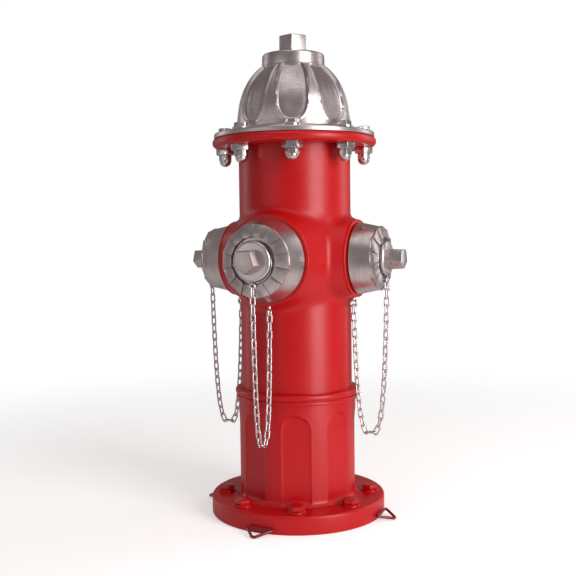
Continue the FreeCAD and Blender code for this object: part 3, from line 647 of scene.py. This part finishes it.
# ================================================================ bonnet
BONNET_BOTTOM = FLANGE_TOP + 1.5
BONNET_FLANGE_TOP, BONNET_RADIUS = 606.3, 127.5
NUT_BORE, NUT_SHAFT = 12.1, 17.0
HUB_BORE = NUT_SHAFT + 0.1   # the bonnet and collar's fit round the nut's shaft
DOME_RADIUS, DOME_RISE, DOME_LEVEL, DOME_WALL = 90.0, 100.0, 628.0, 8.0
CROWN_LEVEL = 710.0
DOME_ROWS = 84
FLUTE_MIDDLE = 650.0
FLUTE_HALF_WIDTH = 24.0
FLUTE_DOWN, FLUTE_UP = 31.0, 73.0
FLUTE_SINK = 3.6
FLUTE_FULLNESS = 2.3         # 2 is an ellipse, more is squarer


def dome_point(level, inset=0.0):
    """Radius of the dome's curve at a level, set in by inset."""
    share = (level - DOME_LEVEL) / (DOME_RISE - inset)
    return (DOME_RADIUS - inset) * math.sqrt(max(0.0, 1 - share * share))


def bonnet():
    """The fluted dome and its flange, hollow, with the hub that guides the operating nut."""
    step = (CROWN_LEVEL - DOME_LEVEL) / DOME_ROWS
    outside = [(dome_point(DOME_LEVEL + row * step), DOME_LEVEL + row * step)
               for row in range(DOME_ROWS + 1)]
    inside = [(dome_point(level, DOME_WALL), level) for level in range(704, 628, -6)]
    lap = FLANGE_TOP + 0.1       # the rim hides the gasket
    outline = [(BONNET_RADIUS, lap), (BONNET_RADIUS, BONNET_FLANGE_TOP), (95.5, BONNET_FLANGE_TOP),
               (DOME_RADIUS, 611.8)] + outside + [
        (26.35, CROWN_LEVEL), (26.35, 681.05), (HUB_BORE, 681.05), (HUB_BORE, 664.0), (42.0, 664.0),
        (42.0, 704.0)] + inside[1:] + [(82.0, DOME_LEVEL), (82.0, BONNET_BOTTOM),
                                (101.0, BONNET_BOTTOM), (102.0, lap)]
    dome = turned("fluted_bonnet", outline,
                  rounds=[(BONNET_RADIUS, BONNET_FLANGE_TOP, 2.6), (BONNET_RADIUS, lap, 0.8),
                          (95.5, BONNET_FLANGE_TOP, 2.0), (DOME_RADIUS, 611.8, 2.0)],
                  steps=FINE_STEPS, divide=[(89.9, 614, 90.1, 627, 12)])
    points = read_points(dome)
    radius, level = np.hypot(points[:, 0], points[:, 1]), points[:, 2]
    across = nearest_station(points)
    reach = np.where(level < FLUTE_MIDDLE, FLUTE_DOWN, FLUTE_UP)
    wide, tall = np.abs(across) / FLUTE_HALF_WIDTH, np.abs(level - FLUTE_MIDDLE) / reach
    size = np.maximum((wide ** FLUTE_FULLNESS + tall ** FLUTE_FULLNESS) ** (1 / FLUTE_FULLNESS),
                      0.001)
    slope = np.hypot(wide / FLUTE_HALF_WIDTH, tall / reach) / size
    inside_by = (1 - size) / np.maximum(slope, 0.01)
    rim = 0.9 * np.exp(-((inside_by + 0.9) / 1.3) ** 2)
    sunk = FLUTE_SINK * soft_step(inside_by, -0.4, 2.4) + 1.6 * soft_step(inside_by, 2.0, 22.0)
    on_dome = (level > 612) & (radius > np.where(level > DOME_LEVEL, 45.0, 85.0))
    outer = np.array([dome_point(max(z, DOME_LEVEL)) - 0.5 for z in level])
    on_dome &= radius > outer
    fade = soft_step(CROWN_LEVEL - level, 0.0, 1.5)
    raise_relief(dome, (rim - sunk) * on_dome * fade)
    return hand_over(dome, SILVER, "hydrant", "silver_casting", "bonnet", angle=50)


def hold_down_collar():
    """The collar over the thrust bearing, a plain turned ring with a rounded top edge."""
    outline = [(HUB_BORE, 692.1), (26.2, 692.1), (26.2, CROWN_LEVEL), (48.9, CROWN_LEVEL),
               (49.8, 713.0), (49.3, 730.0), (HUB_BORE, 730.0), (HUB_BORE, 704.0), (21.0, 704.0),
               (21.0, 700.0), (HUB_BORE, 700.0)]
    ring = turned("hold_down_collar", outline,
                  rounds=[(49.3, 730.0, 3.4), (49.8, 713.0, 1.5), (48.9, CROWN_LEVEL, 0.8)])
    return hand_over(ring, SILVER, "hydrant", "silver_casting", "bonnet_collar")


def five_sided_nut(name, corner_radius, bottom, top, draft, first_corner):
    """A five-sided nut with a little draft, so that a wrench seats, and soft edges."""
    height = top - bottom
    nut = add_blank(name, bpy.ops.mesh.primitive_cylinder_add, vertices=5,
                    radius=corner_radius * MM, depth=height * MM,
                    location=(0, 0, (bottom + height / 2) * MM))
    edit(nut)
    pick(nut, "verts", lambda at: at.z > top - 0.01)
    bpy.ops.transform.resize(value=(draft, draft, 1), center_override=(0, 0, top * MM))
    bpy.ops.object.mode_set(mode="OBJECT")
    corner = nut.data.vertices[0].co
    nut.rotation_euler.z = first_corner - math.atan2(corner.y, corner.x)
    work_on(nut)
    bpy.ops.object.transform_apply(location=True, rotation=True, scale=True)
    soften_edges(nut, 1.1)
    return nut


def operating_nut():
    """The shaft with its thrust collar, bored for the stem, and the head that closes the bore."""
    shaft = turned("nut_shaft", [(NUT_BORE, 664), (NUT_SHAFT, 664), (NUT_SHAFT, 684), (26, 684),
                                 (26, 692), (NUT_SHAFT, 692), (NUT_SHAFT, 733), (NUT_BORE, 733)],
                   rounds=[(26, 684, 0.8), (26, 692, 0.8)], steps=64)
    head = five_sided_nut("nut_head", 22.8, 732, 760, 0.985, 0.0)
    nut = join("operating_nut_head", [head, shaft])
    return hand_over(nut, SILVER, "operating_nut", "silver_casting", "operating_nut")


# ================================================================ fasteners
FOOT_CIRCLE, BONNET_CIRCLE = 116.5, 110.6    # radii of the bolt circles
WASHER_TOP = FOOT_TOP + 2.5
NUT_HEIGHT = 10
CAP_NUT_LENGTH, CAP_NUT_BALL = 18.5, 9.6


def hex_blank(name, corner_radius, bottom, height, chamfer_top=True, chamfer_bottom=False):
    """A hexagon whose corners are chamfered by a turned cone, as bolt heads and nuts are."""
    hexagon = add_blank(name, bpy.ops.mesh.primitive_cylinder_add, vertices=6,
                        radius=corner_radius * MM, depth=height * MM,
                        location=(0, 0, (bottom + height / 2) * MM))
    flat = corner_radius * math.cos(math.pi / 6)
    drop = (corner_radius - flat) * 0.8
    top = bottom + height
    edge_top = [(corner_radius + 0.5, top - drop), (flat * 0.97, top)] if chamfer_top else [
        (corner_radius + 0.5, top)]
    edge_bottom = [(flat * 0.97, bottom), (corner_radius + 0.5, bottom + drop)] if (
        chamfer_bottom) else [(corner_radius + 0.5, bottom)]
    outline = [(0, bottom)] + edge_bottom + edge_top + [(0, top)]
    cone = turned(f"{name}_chamfer", outline, steps=60)
    apply_modifier(hexagon, "BOOLEAN", operation="INTERSECT", object=cone, solver="EXACT")
    bpy.data.objects.remove(cone)
    weld(hexagon)
    soften_edges(hexagon, 0.35, segments=2)
    return hexagon


def stub(name, radius, bottom, top, steps=32):
    return turned(name, [(0, bottom), (radius, bottom), (radius, top), (0, top)], steps=steps,
                  rounds=[(radius, bottom, 0.8)])


def foot_bolts():
    head = hex_blank("foot_bolt_head", 13.4, WASHER_TOP, 8)
    bolt = join("foot_bolt", [head, stub("foot_bolt_shank", 7.9, 6, WASHER_TOP + 0.5)])
    ring = ring_of(bolt, "foot_bolts", COUNT, PITCH / 2, FOOT_CIRCLE)
    hand_over(ring, BOLT_RED, "hydrant", "red_enamel", "base_bolts")
    washer = turned("foot_washer", [(8.2, FOOT_TOP), (14.5, FOOT_TOP), (14.5, WASHER_TOP),
                                    (8.2, WASHER_TOP)],
                    rounds=[(14.5, WASHER_TOP, 0.8)], steps=48)
    washers = ring_of(washer, "foot_washers", COUNT, PITCH / 2, FOOT_CIRCLE)
    hand_over(washers, BOLT_RED, "hydrant", "red_enamel", "base_washers")


def bonnet_fasteners():
    """The bonnet's bolts with skirted heads, and the nuts and domed cap nuts under the flange."""
    head = hex_blank("bonnet_bolt_head", 11.0, BONNET_FLANGE_TOP + 3, 7)
    skirt = turned("bonnet_bolt_skirt", [(0, BONNET_FLANGE_TOP), (13.6, BONNET_FLANGE_TOP),
                                         (13.2, BONNET_FLANGE_TOP + 3.6),
                                         (0, BONNET_FLANGE_TOP + 4.2)],
                   rounds=[(13.2, BONNET_FLANGE_TOP + 3.6, 0.8)], steps=40)
    bolt = join("bonnet_bolt", [head, skirt, stub("bonnet_bolt_shank", 6.3, 561, 607)])
    ring = ring_of(bolt, "bonnet_bolt_ring", COUNT, PITCH / 2, BONNET_CIRCLE)
    hand_over(ring, FASTENER, "hydrant", "plated_fastener", "bonnet_bolts")
    nut_bottom = FLANGE_BOTTOM - NUT_HEIGHT
    nut = hex_blank("bonnet_nut", 15.8, nut_bottom, NUT_HEIGHT, chamfer_top=False,
                    chamfer_bottom=True)
    nuts = ring_of(nut, "bonnet_nut_ring", COUNT, PITCH / 2, BONNET_CIRCLE)
    hand_over(nuts, FASTENER, "hydrant", "plated_fastener", "bonnet_nuts")
    ball = CAP_NUT_BALL
    ball_middle = nut_bottom - CAP_NUT_LENGTH + ball
    arc = [(ball * math.sin(turn), ball_middle - ball * math.cos(turn))
           for turn in (math.radians(step * 10) for step in range(10))]
    dome = turned("cap_nut_dome", arc + [(ball, nut_bottom), (0, nut_bottom)], steps=40)
    body = hex_blank("cap_nut_body", 11.0, nut_bottom - 9, 9, chamfer_top=False,
                     chamfer_bottom=True)
    domes = ring_of(join("cap_nut", [dome, body]), "bonnet_cap_nut_ring", COUNT, PITCH / 2, BONNET_CIRCLE)
    hand_over(domes, FASTENER, "hydrant", "plated_fastener", "bonnet_cap_nuts")


# ================================================================ hose caps
TEETH = 14
TOOTH_RISE = 1.9
TOOTH_GAP = math.radians(0.55)   # bare angle at each side of a tooth
TOOTH_THICKNESS = 5.5
TOOTH_STAND = 0.5            # the teeth's lower side above the face's line
SHELL_DROP = 1.8             # the shell's face below that line
CAP_BACK = 111.0
CAP_FLOOR = 137.1
NUT_LENGTH, BOSS_LENGTH, GROOVE_LENGTH, GROOVE_DEPTH = 24.5, 6.0, 6.5, 7.2


def face_tooth(sizes, inner, inner_level):
    """One sector of the cap's ratchet face: a slab that rises from one side to the other."""
    half = math.pi / TEETH - TOOTH_GAP
    outer, outer_level = sizes["cap_front"] + 0.8, sizes["face"] + TOOTH_STAND
    inner_level += TOOTH_STAND
    tooth = add_blank("face_tooth", bpy.ops.mesh.primitive_plane_add, size=MM, location=(0, 0, 0))
    corners = {}
    for corner in tooth.data.vertices:
        far, left = corner.co.x > 0, corner.co.y > 0
        corners[corner.index] = (outer if far else inner, half if left else -half,
                                 outer_level if far else inner_level, left)
    for index, (radius, angle, level, left) in corners.items():
        rise = TOOTH_RISE if left else 0.0
        tooth.data.vertices[index].co = Vector((radius * math.cos(angle), radius * math.sin(angle),
                                                level + rise)) * MM
    edit(tooth)
    bpy.ops.mesh.select_all(action="SELECT")
    bpy.ops.mesh.extrude_region_move(TRANSFORM_OT_translate={"value": (0, 0, -TOOTH_THICKNESS * MM)})
    bpy.ops.object.mode_set(mode="OBJECT")
    weld(tooth)
    soften_edges(tooth, 0.35, segments=2, angle=25)
    return tooth


def hose_cap(side):
    """A hose-nozzle cap: tapered side, ratchet face, groove, rounded boss, five-sided nut."""
    sizes = OUTLETS[side][1]
    boss_front = sizes["end"] - NUT_LENGTH
    boss_back = boss_front - BOSS_LENGTH
    groove_back = boss_back - GROOVE_LENGTH
    boss, back, front = sizes["boss"], sizes["cap_back"], sizes["cap_front"]
    face = sizes["face"]
    collar = boss + 6.0
    outline = [(0, CAP_FLOOR), (sizes["thread"], CAP_FLOOR), (sizes["thread"], CAP_BACK),
               (back, CAP_BACK), (front, face - SHELL_DROP),
               (collar, boss_back - 1.5 - SHELL_DROP),
               (collar - 1.5, groove_back), (boss - GROOVE_DEPTH, groove_back),
               (boss - GROOVE_DEPTH, boss_back), (boss, boss_back), (boss, boss_front),
               (0, boss_front)]
    shell = turned(f"{side}_cap_shell", outline,
                   rounds=[(back, CAP_BACK, 0.9), (boss, boss_back, 1.4), (boss, boss_front, 4.2),
                           (front, face - SHELL_DROP, 0.5)])
    tooth = face_tooth(sizes, collar - 0.2, boss_back - 1.5)
    teeth = ring_of(tooth, f"{side}_cap_teeth", TEETH, math.pi / TEETH)
    nut = five_sided_nut(f"{side}_cap_nut", sizes["nut"], boss_front - 1, sizes["end"], 0.93,
                         math.pi)
    cap = onto_outlet(join(f"{side}_hose_cap", [shell, teeth, nut]), side)
    return hand_over(cap, CAP_SILVER[side], f"{side}_cap", "silver_casting", f"{side}_cap",
                     angle=30)


# ================================================================ peg loops
def peg_loop():
    """A wire bent to a triangle: its bar against the foot, its point on the ground."""
    wire = 2.2
    bar, half, level, tip = FOOT_RADIUS + wire, 23.0, 9.0, 169.0 - wire
    corners = [Vector((bar, -half, level)), Vector((bar, half, level)), Vector((tip, 0, wire))]
    path = add_blank("peg_loop", bpy.ops.mesh.primitive_plane_add, size=MM,
                     location=corners[0] * MM)
    edit(path)
    bpy.ops.mesh.select_all(action="SELECT")
    bpy.ops.mesh.merge(type="CENTER")
    for here, there in zip(corners, corners[1:] + corners[:1]):
        bpy.ops.mesh.extrude_region_move(TRANSFORM_OT_translate={"value": (there - here) * MM})
    bpy.ops.mesh.select_all(action="SELECT")
    bpy.ops.mesh.remove_doubles(threshold=WELD)
    bpy.ops.mesh.bevel(offset=6 * MM, segments=6, affect="VERTICES")
    bpy.ops.object.mode_set(mode="OBJECT")
    bpy.ops.object.convert(target="CURVE")
    path.data.bevel_depth = wire * MM
    path.data.bevel_resolution = 4
    bpy.ops.object.convert(target="MESH")
    loop = bpy.context.active_object
    weld(loop)
    return loop


# ================================================================ chains
def chain_strand(side, strand):
    """A hanging strand: the frame's one mirrored in the plane that it hangs in, so that its
    links twist the other way and show their loops to the front."""
    node = f"{side}_chain_{strand}"
    name = f"{side}_{strand}_links"
    links = bpy.data.objects.new(name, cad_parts[node].data.copy())
    links.data.name = name
    scene.collection.objects.link(links)
    edit(links)
    bpy.ops.mesh.select_all(action="SELECT")
    mirror = (-1, 1, 1) if side == "front" else (1, -1, 1)
    bpy.ops.transform.resize(value=mirror, center_override=(0, 0, 0))
    bpy.ops.object.mode_set(mode="OBJECT")
    weld(links)
    hand_over(links, CHAIN, f"{side}_strand_{strand}", "chain_steel", node)


# ================================================================ all the pieces
def new_pieces():
    foot_flange()
    panelled_barrel()
    joint_bead()
    upper_barrel()
    bonnet()
    hold_down_collar()
    operating_nut()
    foot_bolts()
    bonnet_fasteners()
    for side in OUTLETS:
        hose_cap(side)
        chain_strand(side, "outer")
        chain_strand(side, "inner")
    loops = ring_of(peg_loop(), "peg_wire_loops", 4, 0.0)
    hand_over(loops, WIRE_RED, "hydrant", "red_wire", "peg_loops")


def carried_over():
    """CAD pieces whose shape is right keep it and get their real finish."""
    finishes = {"barrel_gasket": GASKET, "bonnet_gasket": GASKET, "thrust_washer": ACETAL,
                "nut_seal": RUBBER, "seat_ring": SEAT_BRASS, "seat_seal": RUBBER,
                "stem_guide": SEAT_BRASS, "stem_upper": STEM_STEEL, "stem_lower": STEM_STEEL,
                "stem_coupling": STEM_STEEL, "coupling_pins": FASTENER, "valve_top_plate": IRON,
                "main_valve": VALVE_RUBBER, "valve_bottom_plate": IRON, "valve_nut": SEAT_BRASS}
    for side in OUTLETS:
        finishes[f"{side}_nozzle"] = BRASS[side]
        finishes[f"{side}_nozzle_seal"] = RUBBER
        finishes[f"{side}_cap_gasket"] = RUBBER
        for part in ("chain_eye", "chain_ring"):
            finishes[f"{side}_{part}"] = CHAIN
    for name, finish in finishes.items():
        give(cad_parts[name], finish)


# ================================================================ studio
def floor():
    """A pale floor that fades into the white surroundings at its edge."""
    disc = add_blank("studio_floor", bpy.ops.mesh.primitive_circle_add, vertices=96, radius=3.0,
                     fill_type="NGON")
    finish, tree, place = start_finish("pale_studio_floor")
    speck = grain(tree, place, 40, detail=3.0)
    seen = add_node(tree, "ShaderNodeLightPath").outputs["Is Camera Ray"]
    glow = add_node(tree, "ShaderNodeMath", {0: seen, 1: 0.42}, operation="MULTIPLY")
    paint = add_node(tree, "ShaderNodeBsdfPrincipled",
                     {"Base Color": tint(tree, speck, "#FDFCFC", "#F8F7F7"), "Roughness": 0.7,
                      "Emission Color": linear("#FFFFFF"),
                      "Emission Strength": glow.outputs["Value"]})
    clear = add_node(tree, "ShaderNodeBsdfTransparent")
    distance = add_node(tree, "ShaderNodeVectorMath", {0: place}, operation="LENGTH")
    fade = add_node(tree, "ShaderNodeMapRange",
                    {"Value": distance.outputs["Value"], "From Min": 0.45, "From Max": 1.6},
                    interpolation_type="SMOOTHSTEP")
    mix = add_node(tree, "ShaderNodeMixShader", {0: fade.outputs["Result"],
                                                 1: paint.outputs["BSDF"],
                                                 2: clear.outputs["BSDF"]})
    add_node(tree, "ShaderNodeOutputMaterial", {"Surface": mix.outputs["Shader"]})
    give(disc, finish)


def soft_box(name, azimuth, distance, height, width, tall, power, aim=0.35):
    """A rectangular soft light; azimuth is in degrees from -Y toward +X."""
    turn = math.radians(azimuth)
    place = Vector((distance * math.sin(turn), -distance * math.cos(turn), height))
    light = bpy.data.lights.new(name, "AREA")
    light.shape = "RECTANGLE"
    light.size, light.size_y = width, tall
    light.energy = power
    light.color = (1.0, 0.985, 0.98)
    holder = bpy.data.objects.new(name, light)
    scene.collection.objects.link(holder)
    holder.location = place
    holder.rotation_euler = (Vector((0, 0, aim)) - place).to_track_quat("-Z", "Y").to_euler()
    holder.visible_camera = False


def surroundings():
    """Even grey light all round, which the camera sees as white paper."""
    world = bpy.data.worlds.new("studio")
    scene.world = world
    world.use_nodes = True
    tree = world.node_tree
    tree.nodes.clear()
    seen = add_node(tree, "ShaderNodeLightPath").outputs["Is Camera Ray"]
    room = add_node(tree, "ShaderNodeBackground", {"Color": linear("#FFF6F5"), "Strength": 0.22})
    paper = add_node(tree, "ShaderNodeBackground", {"Color": linear("#FFFFFF"), "Strength": 1.0})
    mix = add_node(tree, "ShaderNodeMixShader", {0: seen, 1: room.outputs[0],
                                                 2: paper.outputs[0]})
    add_node(tree, "ShaderNodeOutputWorld", {"Surface": mix.outputs["Shader"]})


def camera():
    view = bpy.data.cameras.new("camera")
    view.lens = 56.17
    view.sensor_width = 36.0
    holder = bpy.data.objects.new("camera", view)
    scene.collection.objects.link(holder)
    distance, azimuth, height = 1.44675, math.radians(24.081), 0.44788
    heading, tilt, roll = math.radians(24.585), math.radians(90 - 3.471), math.radians(-0.710)
    holder.location = (distance * math.sin(azimuth), -distance * math.cos(azimuth), height)
    turn = (Matrix.Rotation(heading, 4, "Z") @ Matrix.Rotation(tilt, 4, "X")
            @ Matrix.Rotation(roll, 4, "Z"))
    holder.rotation_euler = turn.to_euler()
    scene.camera = holder


def studio():
    camera()
    surroundings()
    floor()
    soft_box("key_box", azimuth=68, distance=1.7, height=0.70, width=0.85, tall=1.7, power=28)
    soft_box("front_box", azimuth=-24, distance=2.0, height=0.5, width=1.4, tall=1.4, power=3.0)
    soft_box("top_box", azimuth=30, distance=0.5, height=2.1, width=1.6, tall=1.6, power=6)
    soft_box("left_edge_box", azimuth=-95, distance=1.8, height=0.7, width=0.5, tall=1.6,
             power=3)
    soft_box("right_edge_box", azimuth=140, distance=1.7, height=0.8, width=0.7, tall=1.6,
             power=5)
    scene.view_settings.view_transform = "Standard"


new_pieces()
carried_over()
studio()
